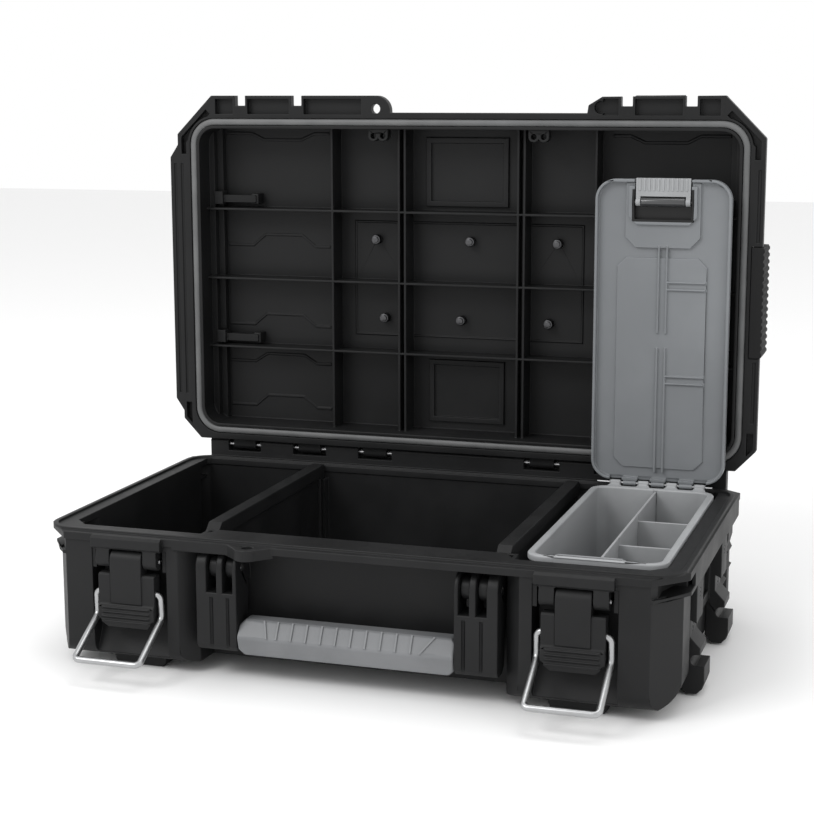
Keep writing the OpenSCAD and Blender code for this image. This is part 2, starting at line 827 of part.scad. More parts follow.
module lid_shell() {
  color(black)
    opened(hinge_y, hinge_z)
      lid_shell_closed();
}

module lid_seal() {
  color(seal_grey)
    opened(hinge_y, hinge_z)
      difference() {
        translate([0, 0, lid_z])
          linear_extrude(4.7)
            seal_outline(seal_w / 2);
        translate([0, 0, lid_z - 1])
          linear_extrude(7)
            seal_outline(-seal_w / 2);
      }
}

bolt_r = 1.9;
bolt_places = [[-89, -40.5], [4, -40.5], [88, -40.5], [-81, 34.5], [-5, 34.5], [80, 34.5]];

module bolt_holes(r, z0, z1) {
  for (p = bolt_places)
    translate([p[0], p[1], z0])
      cylinder(h = z1 - z0, r = r, $fn = round_fn);
}

// Ribbed plate on the outer face of the lid
module lid_top_plate() {
  color(dark)
    opened(hinge_y, hinge_z)
      difference() {
        union() {
          translate([0, 0, lid_top])
            linear_extrude(4)
              round_rect(-plate_x, plate_x, plate_y[0], plate_y[1], 10);
          for (i = [-5:5])
            block(i * 18 - 2.5, i * 18 + 2.5, plate_y[0] + 10, plate_y[1] - 10, lid_top + 3.5, lid_top + 6);
        }
        bolt_holes(bolt_r + pin_clear, lid_top - 1, lid_top + 3);
      }
}

module lid_plate_bolts() {
  color(dark)
    opened(hinge_y, hinge_z)
      for (p = bolt_places)
        translate([p[0], p[1], panel_z]) {
          translate([0, 0, -8])
            cylinder(h = 8, r = 4.5, $fn = round_fn);
          translate([0, 0, -10])
            cylinder(h = 2.2, r = 3.4, $fn = round_fn);
          cylinder(h = wall + 2.8, r = bolt_r, $fn = round_fn);
        }
}

// Bars on the end walls of the lid that hold long tools
module lid_tool_brackets() {
  color(dark)
    opened(hinge_y, hinge_z)
      on_both_sides()
        for (y = bracket_y) {
          wall_x = seal_x - seal_in - end_step - 0.05;
          tip_x = wall_x - bracket_reach;
          block(tip_x, wall_x, y - 3.5, y + 3.5, panel_z - 15, panel_z - 8.05);
          block(wall_x - 9, wall_x, y - 7, y + 5.5, panel_z - 19, panel_z - 8.05);
          block(tip_x - 2, tip_x + 5, y - 5, y + 5, panel_z - 13, panel_z - 0.05);
        }
}

module hinge_pins() {
  color(steel)
    for (x = hinge_x, s = [-1, 1])
      rod(s * x - slot_l / 2 - 5, s * x + slot_l / 2 + 5, hinge_y, hinge_z, pin_r);
}

// ---------------------------------------------------------------- side handle

// Strap handle on the right side of the lid
module side_handle() {
  y0 = side_handle_y - side_handle_l / 2;
  y1 = side_handle_y + side_handle_l / 2;
  x0 = seal_x - seal_in + wall + 1.45;
  color(light_grey)
    opened(hinge_y, hinge_z)
      difference() {
        slab([[x0, y0], [x0 + 6, y0], [lid_x - 3, y0 + 26], [lid_x - 3, y1 - 26], [x0 + 6, y1],
              [x0, y1], [x0, y1 - 18], [x0 + 8, y1 - 30], [x0 + 8, y0 + 30], [x0, y0 + 18]],
             side_handle_z - 6, side_handle_z + 6);
        for (y = [y0 + 9, y1 - 9]) {
          rod(x0 - 1, x0 + 20, y, side_handle_z, 2 + pin_clear);
          rod(x0 + 6, x0 + 20, y, side_handle_z, 4);
        }
      }
}

module side_handle_screws() {
  x0 = seal_x - seal_in + wall + 1.45;
  color(steel)
    opened(hinge_y, hinge_z)
      for (s = [-1, 1]) {
        y = side_handle_y + s * (side_handle_l / 2 - 9);
        rod(seal_x - seal_in + 1.2, x0 + 6.1, y, side_handle_z, 2);
        rod(x0 + 6.05, x0 + 8.5, y, side_handle_z, 3.6);
      }
}

// Serrated sleeve clipped over the middle of the side handle
module side_handle_grip() {
  y0 = side_handle_y - side_grip_l / 2;
  y1 = side_handle_y + side_grip_l / 2;
  teeth = 16;
  pitch = side_grip_l / teeth;
  x1 = lid_x + 1;
  z0 = lid_z - 1.5;
  z1 = side_handle_z + 8;
  color(dark)
    opened(hinge_y, hinge_z)
      difference() {
        union() {
          slab([[grip_x, y0], [x1, y0], [x1, y1], [grip_x, y1]], z0, z1);
          for (i = [0:teeth - 1])
            slab([[x1 - 1, y0 + i * pitch], [x1 + 1.2, y0 + (i + 0.3) * pitch],
                  [x1 + 1.2, y0 + (i + 0.7) * pitch], [x1 - 1, y0 + (i + 1) * pitch]], z0, z1);
        }
        block(grip_x - 1, lid_x - 2.95, y0 - 1, y1 + 1, side_handle_z - 6.05, side_handle_z + 6.05);
      }
}

// ---------------------------------------------------------------- latches

// Lever at the right latch, hanging closed on its pin
module lever() {
  front = lever_y - 8;
  back = lever_y + 4;
  top_z = lever_z - 11;
  low_z = lever_z - lever_len;
  pad_z = low_z + 20;
  difference() {
    union() {
      rod(latch_x - neck_half, latch_x + neck_half, lever_y, lever_z, lever_y - front);
      block(latch_x - neck_half, latch_x + neck_half, front, lever_y + 4, pad_z, lever_z);
      intersection() {
        along_x(latch_x - lever_half, latch_x + lever_half)
          polygon([[front + 2.5, top_z], [back, top_z], [back, low_z + 10], [back - 4, low_z],
                   [front + 1.5, low_z], [front - 1, low_z + 4], [front - 1, pad_z - 2],
                   [front + 1, pad_z], [front + 1, top_z - 1.5]]);
        along_y(front - 2, back + 1)
          polygon([[latch_x - lever_half, low_z + 8], [latch_x - lever_half + 8, low_z - 1],
                   [latch_x + lever_half - 8, low_z - 1], [latch_x + lever_half, low_z + 8],
                   [latch_x + lever_half, top_z + 1], [latch_x - lever_half, top_z + 1]]);
      }
      for (i = [0:3])
        block(latch_x - lever_half + 4, latch_x + lever_half - 4, front - 2.4, front,
              low_z + 5 + i * 3.8, low_z + 6.5 + i * 3.8);
    }
    rod(latch_x - big, latch_x + big, lever_y, lever_z, pin_r + bore_clear);
    for (s = [-1, 1])
      rod(s > 0 ? latch_x + lever_half - 9 : latch_x - lever_half - 1,
          s > 0 ? latch_x + lever_half + 1 : latch_x - lever_half + 9, bail_y, bail_z,
          wire_r + bore_clear);
  }
}

// Bent wire bail at the right latch, hanging open
module bail() {
  joint_r = wire_r + 0.2;
  top = [bail_y - bend_y, bail_z - bend_z];
  low = [bend_y - bar_y, bend_z - bar_z];
  for (s = [-1, 1]) {
    x = latch_x + s * leg_x;
    hole = latch_x + s * (lever_half - 8.6);
    rod(min(x, hole), max(x, hole), bail_y, bail_z, wire_r);
    for (p = [[bail_y, bail_z], [bend_y, bend_z], [bar_y, bar_z]])
      translate([x, p[0], p[1]])
        sphere(r = joint_r, $fn = round_fn);
    translate([x, bend_y, bend_z])
      rotate([-atan2(top[0], top[1]), 0, 0])
        cylinder(h = norm(top), r = wire_r, $fn = round_fn);
    translate([x, bar_y, bar_z])
      rotate([-atan2(low[0], low[1]), 0, 0])
        cylinder(h = norm(low), r = wire_r, $fn = round_fn);
  }
  rod(latch_x - leg_x, latch_x + leg_x, bar_y, bar_z, wire_r);
}

module latch_lever_left() {
  color(black)
    mirror([1, 0, 0])
      lever();
}

module latch_lever_right() {
  color(black)
    lever();
}

module latch_bail_left() {
  color(steel)
    mirror([1, 0, 0])
      bail();
}

module latch_bail_right() {
  color(steel)
    bail();
}

module latch_pins() {
  color(steel)
    on_both_sides()
      rod(latch_x - ear_half - 1, latch_x + ear_half + 1, lever_y, lever_z, pin_r);
}

// ---------------------------------------------------------------- carrying handle

module handle_arm() {
  low = grip_z0 + 2;
  difference() {
    union() {
      rod(arm_x0, arm_x1, handle_y, handle_z, hub_r);
      along_x(arm_x0, arm_x1)
        polygon([[arm_front, handle_z], [arm_back, handle_z], [arm_back, handle_z - 20],
                 [arm_back - 4, low + 6], [arm_back - 10, low], [arm_front + 3, low],
                 [arm_front, low + 4]]);
    }
    for (x = lug_x)
      block(x - lug_gap, x + lug_t + lug_gap, handle_y - hub_r - 2, handle_y + hub_r + 2,
            handle_z - 19, handle_z + hub_r + 2);
    for (x = lug_x)
      block(x + 2.5, x + 4.5, arm_front - 1, arm_front + 1, low + 2, handle_z - 23);
    rod(arm_x0 - 1, arm_x1 + 1, handle_y, handle_z, handle_pin_r + bore_clear);
  }
}

module handle_frame() {
  mid = (grip_z0 + grip_z1) / 2;
  color(black) {
    on_both_sides()
      handle_arm();
    block(-arm_x0 - 1, arm_x0 + 1, handle_y - 7, handle_y + 7, mid - 6, mid + 6);
  }
}

// Six-sided sleeve round the bar between the arms
module handle_grip() {
  mid = (grip_z0 + grip_z1) / 2;
  end = arm_x0 - 0.4;
  ridge = arm_front - 1;
  bevel = 4;
  color(mid_grey)
    difference() {
      intersection() {
        along_x(-end, end)
          polygon([[ridge, grip_z0 + grip_h * 0.54], [ridge + 10, grip_z1], [arm_back - 4, grip_z1],
                   [arm_back + 1, grip_z1 - 6], [arm_back + 1, grip_z0 + 6], [arm_back - 4, grip_z0],
                   [ridge + 4, grip_z0]]);
        along_y(ridge - 1, arm_back + 2)
          polygon([[-end, grip_z0 + bevel], [-end + bevel, grip_z0], [end - bevel, grip_z0],
                   [end, grip_z0 + bevel], [end, grip_z1 - bevel], [end - bevel, grip_z1],
                   [-end + bevel, grip_z1], [-end, grip_z1 - bevel]]);
      }
      block(-big, big, handle_y - 7.1, handle_y + 7.1, mid - 6.1, mid + 6.1);
    }
}

module handle_pins() {
  color(steel)
    on_both_sides()
      rod(arm_x0 + 0.3, arm_x1 - 0.3, handle_y, handle_z, handle_pin_r);
}

// ---------------------------------------------------------------- dividers

module divider(x) {
  front = recess_y + wall + clear;
  y1 = seal_back - 4.4;
  z0 = floor_z + clear;
  top = rim_z - 0.6;
  foot = edge_r - wall + 1;
  difference() {
    along_x(x - divider_t / 2, x + divider_t / 2)
      polygon([[front, z0], [y1 - foot, z0], [y1, z0 + foot], [y1, top], [front + 18, top],
               [front, top - 16]]);
    for (s = [-1, 1])
      block(x + s * divider_t / 2 - 2, x + s * divider_t / 2 + 2, front + 26, y1 - 10, z0 + foot,
            top - 12);
  }
}

module divider_left() {
  color(black)
    divider(divider_left_x);
}

module divider_right() {
  color(black)
    divider(divider_right_x);
}

// ---------------------------------------------------------------- organiser

module organiser_bin() {
  color(light_grey)
    difference() {
      union() {
        translate([0, 0, bin_z0])
          linear_extrude(bin_top - bin_z0)
            round_rect(bin_in_x0 - bin_wall, bin_in_x1 + bin_wall, bin_in_y0 - bin_wall,
                       bin_in_y1 + bin_wall, 12);
        translate([0, 0, bin_top - 6])
          linear_extrude(6)
            round_rect(bin_x0, bin_x1, bin_y0, bin_y1, 16);
        block(bin_mid - 30, bin_mid + 22, bin_y0 + 0.5, bin_in_y0 - 1.5, bin_top - 1, bin_top + 0.2);
        for (x = box_eye_x)
          translate([bin_mid + x, 0, 0]) {
            rod(-5, 5, box_hinge_y, box_hinge_z, 2.6);
            along_x(-5, 5)
              polygon([[bin_y1 - 3, bin_top - 6], [bin_y1, bin_top - 6],
                       [box_hinge_y + 2.5, box_hinge_z - 0.5], [box_hinge_y - 2.5, box_hinge_z - 0.5],
                       [bin_y1 - 3, bin_top - 0.5]]);
          }
      }
      translate([0, 0, bin_z0 + bin_wall])
        linear_extrude(big)
          round_rect(bin_in_x0, bin_in_x1, bin_in_y0, bin_in_y1, 10);
      rod(bin_x0 - 1, bin_x1 + 1, box_hinge_y, box_hinge_z, box_pin_r + bore_clear);
      for (y = [bin_in_y0 - 1, bin_in_y1 - 1])
        block(long_div_x - 1.2, long_div_x + 1.2, y, y + 2, bin_z0 + bin_wall, bin_top + 1);
      for (y = cross_y)
        block(bin_in_x1 - 1, bin_in_x1 + 0.8, y - 1.2, y + 1.2, bin_z0 + bin_wall, bin_top - 8);
    }
}

module organiser_long_divider() {
  color(light_grey)
    difference() {
      block(long_div_x - 1, long_div_x + 1, bin_in_y0 - 0.7, bin_in_y1 + 0.7,
            bin_z0 + bin_wall + 0.05, bin_top - 2.5);
      for (y = cross_y)
        block(long_div_x + 0.2, long_div_x + 2, y - 1.2, y + 1.2, bin_z0, big);
    }
}

module organiser_cross_dividers() {
  color(light_grey)
    for (y = cross_y)
      block(long_div_x + 0.35, bin_in_x1 + 0.5, y - 1, y + 1,
            bin_z0 + bin_wall + 0.05, bin_top - 8.5);
}

// Lid of the organiser in its closed place
module box_lid_closed() {
  z0 = box_lid_z;
  z1 = box_lid_z + box_lid_t;
  y0 = box_lid_front;
  y1 = box_lid_back;
  x0 = box_lid_x0;
  x1 = box_lid_x1;
  mid = (x0 + x1) / 2;
  edge = 2.4;
  c = 18;
  d = 20;
  raised = [[x0 + d + 8, y0 + 69], [x1 - d - 8, y0 + 69], [x1 - d, y0 + 77], [x1 - d, y1 - d],
            [x1 - d - 8, y1 - d + 8], [x0 + d + 8, y1 - d + 8], [x0 + d, y1 - d], [x0 + d, y0 + 77]];
  rib_gap = 13;
  rib_end = y0 + 136;
  difference() {
    union() {
      difference() {
        translate([0, 0, z0])
          linear_extrude(z1 - z0)
            round_rect(x0, x1, y0, y1, c);
        translate([0, 0, z0 - 1])
          linear_extrude(z1 - z0 - 2.5)
            round_rect(x0 + edge, x1 - edge, y0 + edge, y1 - edge, c - edge);
      }
      slab(raised, z1 - 5, z1 - 1);
      for (s = [-1, 1]) {
        block(long_div_x + s * 3.6 - 0.9, long_div_x + s * 3.6 + 0.9, y0 + 58, rib_end, z1 - 7, z1 - 1);
        block(long_div_x + s * 3.6 - 0.9, long_div_x + s * 3.6 + 0.9, rib_end + rib_gap, y1 - 8, z1 - 7,
              z1 - 1);
      }
      for (y = cross_y, s = [-1, 1])
        block(long_div_x + 4, x1 - d - 1, y + s * 3.2 - 0.9, y + s * 3.2 + 0.9, z1 - 7, z1 - 1);
      for (i = [0:2]) {
        xc = bin_mid + (box_eye_x[i] + box_eye_x[i + 1]) / 2;
        rod(xc - 6, xc + 6, box_hinge_y, box_hinge_z, 2.4);
        along_x(xc - 6, xc + 6)
          polygon([[y1 - 2, z0 + 1.2], [box_hinge_y, box_hinge_z - 1], [box_hinge_y, box_hinge_z + 2.4],
                   [y1 - 2, z0 + 5]]);
      }
      latch_frame_walls(z0, z1);
    }
    block(mid - latch_half + 3, mid + latch_half - 3, y0 + 9, y0 + 37, z0 - 1, z1 + 1);
    block(mid - latch_half + 5, mid + latch_half - 5, y0 - 1, y0 + 10, z0 - 1, z1 + 1);
    for (x = box_eye_x)
      block(bin_mid + x - 5.6, bin_mid + x + 5.6, y1 - 3, y1 + 8, z0 - 1, z0 + 5.6);
    rod(x0 - 1, x1 + 1, box_hinge_y, box_hinge_z, box_pin_r + bore_clear);
  }
}

// Walls of the latch pocket on the underside of the organiser lid
module latch_frame_walls(z0, z1) {
  mid = (box_lid_x0 + box_lid_x1) / 2;
  y0 = box_lid_front;
  slab([[mid - latch_half - 3, y0 + 3], [mid + latch_half + 3, y0 + 3], [mid + latch_half + 3, y0 + 51],
        [mid + latch_half - 6, y0 + 60], [mid - latch_half + 6, y0 + 60], [mid - latch_half - 3, y0 + 51]],
       z1 - 6, z1 - 1);
  slab([[mid - latch_half, y0 + 6], [mid + latch_half, y0 + 6], [mid + latch_half, y0 + 33],
        [mid + latch_half - 7, y0 + 40], [mid - latch_half + 7, y0 + 40], [mid - latch_half, y0 + 33]],
       z0 + 0.5, z1 - 1);
}

module organiser_lid() {
  color(mid_grey)
    opened(box_hinge_y, box_hinge_z)
      box_lid_closed();
}

module organiser_hinge_pin() {
  color(steel)
    rod(box_lid_x0 + 6, box_lid_x1 - 10, box_hinge_y, box_hinge_z, box_pin_r);
}

// Black tray that lines the latch pocket
module organiser_latch_frame() {
  mid = (box_lid_x0 + box_lid_x1) / 2;
  y0 = box_lid_front;
  color(dark)
    opened(box_hinge_y, box_hinge_z)
      difference() {
        block(mid - latch_half + 3.05, mid + latch_half - 3.05, y0 + 9.05, y0 + 36.95, box_lid_z + 0.6,
              box_lid_z + box_lid_t - 0.6);
        block(mid - latch_half + 5, mid + latch_half - 5, y0 + 8, y0 + 35, box_lid_z,
              box_lid_z + box_lid_t - 2);
        block(mid - latch_half + 5, mid + latch_half - 5, y0 + 8, roller_y + 1, box_lid_z,
              box_lid_z + box_lid_t);
        rod(mid - big, mid + big, roller_y, roller_z, roller_pin_r + bore_clear);
      }
}

// Grey finger tab of the organiser latch, carried by two eyes on the roller's axle
module organiser_latch_lever() {
  mid = (box_lid_x0 + box_lid_x1) / 2;
  y0 = box_lid_front;
  eye_w = 4;
  color(light_grey)
    opened(box_hinge_y, box_hinge_z)
      difference() {
        union() {
          block(mid - latch_half + 6, mid + latch_half - 6, y0 - 1, roller_y - roller_r - 1, box_lid_z + 1,
                box_lid_z + 4);
          for (i = [0:10])
            block(mid - 20.5 + i * 4.1 - 0.8, mid - 20.5 + i * 4.1 + 0.8, y0 - 0.5, y0 + 10,
                  box_lid_z + 0.2, box_lid_z + 1.5);
          for (s = [-1, 1]) {
            xc = mid + s * (latch_half - 8);
            rod(xc - eye_w / 2, xc + eye_w / 2, roller_y, roller_z, 3.4);
            along_x(xc - eye_w / 2, xc + eye_w / 2)
              polygon([[roller_y - roller_r - 3, box_lid_z + 1], [roller_y, roller_z - 1.2],
                       [roller_y, roller_z + 3], [roller_y - roller_r - 3, box_lid_z + 4]]);
          }
        }
        rod(mid - big, mid + big, roller_y, roller_z, roller_pin_r + bore_clear);
      }
}

// Black roller and its axle between the ends of the latch tray
module organiser_latch_roller() {
  mid = (box_lid_x0 + box_lid_x1) / 2;
  color(dark)
    opened(box_hinge_y, box_hinge_z) {
      rod(mid - latch_half + 10.5, mid + latch_half - 10.5, roller_y, roller_z, roller_r);
      rod(mid - latch_half + 3.4, mid + latch_half - 3.4, roller_y, roller_z, roller_pin_r);
    }
}

base_shell();
side_rail_left();
side_rail_right();
side_rail_screws();
lid_shell();
lid_seal();
lid_top_plate();
lid_plate_bolts();
lid_tool_brackets();
hinge_pins();
side_handle();
side_handle_grip();
side_handle_screws();
latch_lever_left();
latch_lever_right();
latch_bail_left();
latch_bail_right();
latch_pins();
handle_frame();
handle_grip();
handle_pins();
divider_left();
divider_right();
organiser_bin();
organiser_long_divider();
organiser_cross_dividers();
organiser_lid();
organiser_hinge_pin();
organiser_latch_frame();
organiser_latch_lever();
organiser_latch_roller();
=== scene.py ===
import math
import bpy
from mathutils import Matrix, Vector


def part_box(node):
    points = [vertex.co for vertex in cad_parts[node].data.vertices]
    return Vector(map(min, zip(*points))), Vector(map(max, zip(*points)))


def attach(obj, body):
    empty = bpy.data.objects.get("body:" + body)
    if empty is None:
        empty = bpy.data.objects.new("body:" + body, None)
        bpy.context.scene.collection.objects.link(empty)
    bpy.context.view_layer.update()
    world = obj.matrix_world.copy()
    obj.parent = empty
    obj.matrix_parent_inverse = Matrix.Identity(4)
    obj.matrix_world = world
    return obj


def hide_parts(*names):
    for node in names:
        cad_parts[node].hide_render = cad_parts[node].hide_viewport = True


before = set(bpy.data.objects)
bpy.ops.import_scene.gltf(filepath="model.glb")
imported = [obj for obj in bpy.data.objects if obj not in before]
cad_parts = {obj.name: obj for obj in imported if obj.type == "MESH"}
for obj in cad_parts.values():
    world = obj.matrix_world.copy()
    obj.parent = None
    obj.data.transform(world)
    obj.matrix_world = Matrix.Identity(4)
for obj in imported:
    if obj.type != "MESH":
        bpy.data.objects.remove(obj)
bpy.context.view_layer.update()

bpy.ops.object.select_all(action="DESELECT")


# ---------------------------------------------------------------------------
# Camera and studio: the case is seen from its right front corner, a little
# above its rim, on a plain pale floor under large soft lamps.

lens = bpy.data.cameras.new("view")
lens.lens = 78.197
lens.sensor_width = 36.0
lens.clip_end = 20.0
camera = bpy.data.objects.new("view", lens)
camera.location = (0.460117, -1.411214, 0.472425)
camera.rotation_euler = (math.radians(79.700), math.radians(0.120), math.radians(17.971))
bpy.context.scene.collection.objects.link(camera)
bpy.context.scene.camera = camera
bpy.context.scene.view_settings.view_transform = "Standard"

paper = bpy.data.materials.new("studio_paper")
paper.use_nodes = True
paper_shader = paper.node_tree.nodes["Principled BSDF"]
paper_shader.inputs["Base Color"].default_value = (0.88, 0.88, 0.88, 1.0)
paper_shader.inputs["Roughness"].default_value = 0.9
paper_shader.inputs["Specular IOR Level"].default_value = 0.1
bpy.ops.mesh.primitive_plane_add(size=12.0, location=(0.0, 0.0, 0.0))
floor = bpy.context.active_object
floor.name = "studio_floor"
floor.data.materials.append(paper)

world = bpy.data.worlds.new("studio")
world.use_nodes = True
backdrop = world.node_tree.nodes["Background"]
backdrop.inputs["Color"].default_value = (1.0, 1.0, 1.0, 1.0)
backdrop.inputs["Strength"].default_value = 1.0
bpy.context.scene.world = world


def soft_lamp(name, place, aim, size, power):
    """A rectangular lamp that looks from its place at its aim, in metres and watts."""
    data = bpy.data.lights.new(name, "AREA")
    data.shape = "RECTANGLE"
    data.size, data.size_y = size
    data.energy = power
    lamp = bpy.data.objects.new(name, data)
    lamp.location = place
    lamp.rotation_euler = (Vector(aim) - Vector(place)).to_track_quat("-Z", "Y").to_euler()
    bpy.context.scene.collection.objects.link(lamp)


soft_lamp("key_lamp", place=(-1.3, -1.8, 2.1), aim=(0.0, 0.0, 0.15), size=(1.4, 1.0), power=34.0)
soft_lamp("fill_lamp", place=(2.0, -1.2, 1.2), aim=(0.0, 0.0, 0.2), size=(1.2, 1.2), power=2.0)
soft_lamp("top_lamp", place=(0.2, 0.2, 2.4), aim=(0.0, 0.0, 0.1), size=(1.4, 1.0), power=10.0)


# ---------------------------------------------------------------------------
# Base tub: one black polypropylene moulding with a fine spark-eroded grain. Its
# edges are slightly rounded by the tool, painted paler as a highlight and a little
# rubbed, and its upward faces carry a trace of workshop dust.

def knob(tree, name, value):
    """A number that a material can set on a shared effect."""
    made = tree.interface.new_socket(name=name, in_out="INPUT", socket_type="NodeSocketFloat")
    made.default_value = value


def outlet(tree, name):
    """A value that a shared effect hands to the material."""
    tree.interface.new_socket(name=name, in_out="OUTPUT", socket_type="NodeSocketFloat")


def node(tree, kind, **settings):
    """A shader node with its own settings."""
    made = tree.nodes.new(kind)
    for key, value in settings.items():
        setattr(made, key, value)
    return made


def fine_grain_group():
    """Spark-eroded grain for the bump, and wide faint clouds for colour and gloss."""
    tree = bpy.data.node_groups.new("fine_grain", "ShaderNodeTree")
    knob(tree, "Grain Scale", 900.0)
    knob(tree, "Mottle Scale", 18.0)
    outlet(tree, "Height")
    outlet(tree, "Tone")
    given, result = node(tree, "NodeGroupInput"), node(tree, "NodeGroupOutput")
    coord = node(tree, "ShaderNodeTexCoord")
    grain = node(tree, "ShaderNodeTexNoise")
    grain.inputs["Detail"].default_value = 2.5
    grain.inputs["Roughness"].default_value = 0.6
    mottle = node(tree, "ShaderNodeTexNoise")
    mottle.inputs["Detail"].default_value = 4.0
    mottle.inputs["Roughness"].default_value = 0.55
    spread = node(tree, "ShaderNodeMapRange", interpolation_type="SMOOTHSTEP")
    spread.inputs["From Min"].default_value = 0.3
    spread.inputs["From Max"].default_value = 0.7
    join = tree.links.new
    join(coord.outputs["Object"], grain.inputs["Vector"])
    join(coord.outputs["Object"], mottle.inputs["Vector"])
    join(given.outputs["Grain Scale"], grain.inputs["Scale"])
    join(given.outputs["Mottle Scale"], mottle.inputs["Scale"])
    join(grain.outputs["Fac"], result.inputs["Height"])
    join(mottle.outputs["Fac"], spread.inputs["Value"])
    join(spread.outputs["Result"], result.inputs["Tone"])
    return tree


def painted_highlight_and_worn_edges_group():
    """Painted highlight along the outer edges, broken up, standing partly for rubbing."""
    tree = bpy.data.node_groups.new("painted_highlight_and_worn_edges", "ShaderNodeTree")
    knob(tree, "Width", 0.0012)
    knob(tree, "Breakup Scale", 70.0)
    outlet(tree, "Mask")
    given, result = node(tree, "NodeGroupInput"), node(tree, "NodeGroupOutput")
    # convex edges, found by occlusion from inside, get the painted highlight and a little rubbing
    corner = node(tree, "ShaderNodeAmbientOcclusion", inside=True, only_local=True, samples=6)
    edge = node(tree, "ShaderNodeMapRange")
    edge.inputs["From Min"].default_value = 0.95
    edge.inputs["From Max"].default_value = 0.45
    coord = node(tree, "ShaderNodeTexCoord")
    patch = node(tree, "ShaderNodeTexNoise")
    patch.inputs["Detail"].default_value = 4.0
    broken = node(tree, "ShaderNodeMapRange")
    broken.inputs["From Min"].default_value = 0.35
    broken.inputs["From Max"].default_value = 0.62
    broken.inputs["To Min"].default_value = 0.35
    both = node(tree, "ShaderNodeMath", operation="MULTIPLY", use_clamp=True)
    join = tree.links.new
    join(given.outputs["Width"], corner.inputs["Distance"])
    join(given.outputs["Breakup Scale"], patch.inputs["Scale"])
    join(coord.outputs["Object"], patch.inputs["Vector"])
    join(corner.outputs["AO"], edge.inputs["Value"])
    join(patch.outputs["Fac"], broken.inputs["Value"])
    join(edge.outputs["Result"], both.inputs[0])
    join(broken.outputs["Result"], both.inputs[1])
    join(both.outputs["Value"], result.inputs["Mask"])
    return tree


def settled_dust_group():
    """Specks of dust on the faces that look up."""
    tree = bpy.data.node_groups.new("settled_dust", "ShaderNodeTree")
    knob(tree, "Speck Scale", 160.0)
    outlet(tree, "Mask")
    given, result = node(tree, "NodeGroupInput"), node(tree, "NodeGroupOutput")
    face = node(tree, "ShaderNodeNewGeometry")
    split = node(tree, "ShaderNodeSeparateXYZ")
    upward = node(tree, "ShaderNodeMapRange", interpolation_type="SMOOTHSTEP")
    upward.inputs["From Min"].default_value = 0.35
    upward.inputs["From Max"].default_value = 0.95
    coord = node(tree, "ShaderNodeTexCoord")
    speck = node(tree, "ShaderNodeTexNoise")
    speck.inputs["Detail"].default_value = 5.0
    speck.inputs["Roughness"].default_value = 0.7
    thin = node(tree, "ShaderNodeMapRange")
    thin.inputs["From Min"].default_value = 0.42
    thin.inputs["From Max"].default_value = 0.75
    both = node(tree, "ShaderNodeMath", operation="MULTIPLY", use_clamp=True)
    join = tree.links.new
    join(face.outputs["Normal"], split.inputs["Vector"])
    join(split.outputs["Z"], upward.inputs["Value"])
    join(coord.outputs["Object"], speck.inputs["Vector"])
    join(given.outputs["Speck Scale"], speck.inputs["Scale"])
    join(speck.outputs["Fac"], thin.inputs["Value"])
    join(upward.outputs["Result"], both.inputs[0])
    join(thin.outputs["Result"], both.inputs[1])
    join(both.outputs["Value"], result.inputs["Mask"])
    return tree


fine_grain = fine_grain_group()
painted_highlight_and_worn_edges = painted_highlight_and_worn_edges_group()
settled_dust = settled_dust_group()


def mix_colour(tree, amount, under, over):
    """One colour laid over another, as far as a mask times an amount says."""
    scaled = node(tree, "ShaderNodeMath", operation="MULTIPLY")
    scaled.inputs[1].default_value = amount
    mix = node(tree, "ShaderNodeMix", data_type="RGBA")
    if isinstance(under, bpy.types.NodeSocket):
        tree.links.new(under, mix.inputs["A"])
    else:
        mix.inputs["A"].default_value = (*under, 1.0)
    mix.inputs["B"].default_value = (*over, 1.0)
    tree.links.new(scaled.outputs["Value"], mix.inputs["Factor"])
    return scaled.inputs[0], mix.outputs["Result"]


def moulded_plastic(name, colour, tint, rough, grain, edge_highlight_and_worn, dust,
                    scale=900.0, mottle=18.0, gloss=0.22):
    """Injection-moulded skin: grain in the bump, faint mottling, edges painted paler as a
    highlight with some rubbing, and dust.
    """
    # paler edge colour: a painted highlight, partly rubbing
    highlight_and_worn_colour = [c * 1.8 + 0.012 for c in tint]
    grey_dust = (0.30, 0.295, 0.28)
    made = bpy.data.materials.new(name)
    made.use_nodes = True
    tree = made.node_tree
    join = tree.links.new
    shader = tree.nodes["Principled BSDF"]
    shader.inputs["Specular IOR Level"].default_value = gloss
    skin = node(tree, "ShaderNodeGroup", node_tree=fine_grain)
    skin.inputs["Grain Scale"].default_value = scale
    skin.inputs["Mottle Scale"].default_value = mottle
    highlight_and_worn_mask_node = node(tree, "ShaderNodeGroup", node_tree=painted_highlight_and_worn_edges)
    dirt = node(tree, "ShaderNodeGroup", node_tree=settled_dust)
    tone, toned = mix_colour(tree, 1.0, colour, tint)
    # lays the painted edge highlight, with some rubbing, over the toned colour
    edge, edged = mix_colour(tree, edge_highlight_and_worn, toned, highlight_and_worn_colour)
    fall, dusted = mix_colour(tree, dust, edged, grey_dust)
    join(skin.outputs["Tone"], tone)
    join(highlight_and_worn_mask_node.outputs["Mask"], edge)
    join(dirt.outputs["Mask"], fall)
    join(dusted, shader.inputs["Base Color"])
    shine = node(tree, "ShaderNodeMapRange")
    shine.inputs["To Min"].default_value = rough - 0.05
    shine.inputs["To Max"].default_value = rough + 0.06
    join(skin.outputs["Tone"], shine.inputs["Value"])
    join(shine.outputs["Result"], shader.inputs["Roughness"])
    bump = node(tree, "ShaderNodeBump")
    bump.inputs["Strength"].default_value = grain
    bump.inputs["Distance"].default_value = 0.0002
    join(skin.outputs["Height"], bump.inputs["Height"])
    join(bump.outputs["Normal"], shader.inputs["Normal"])
    return made


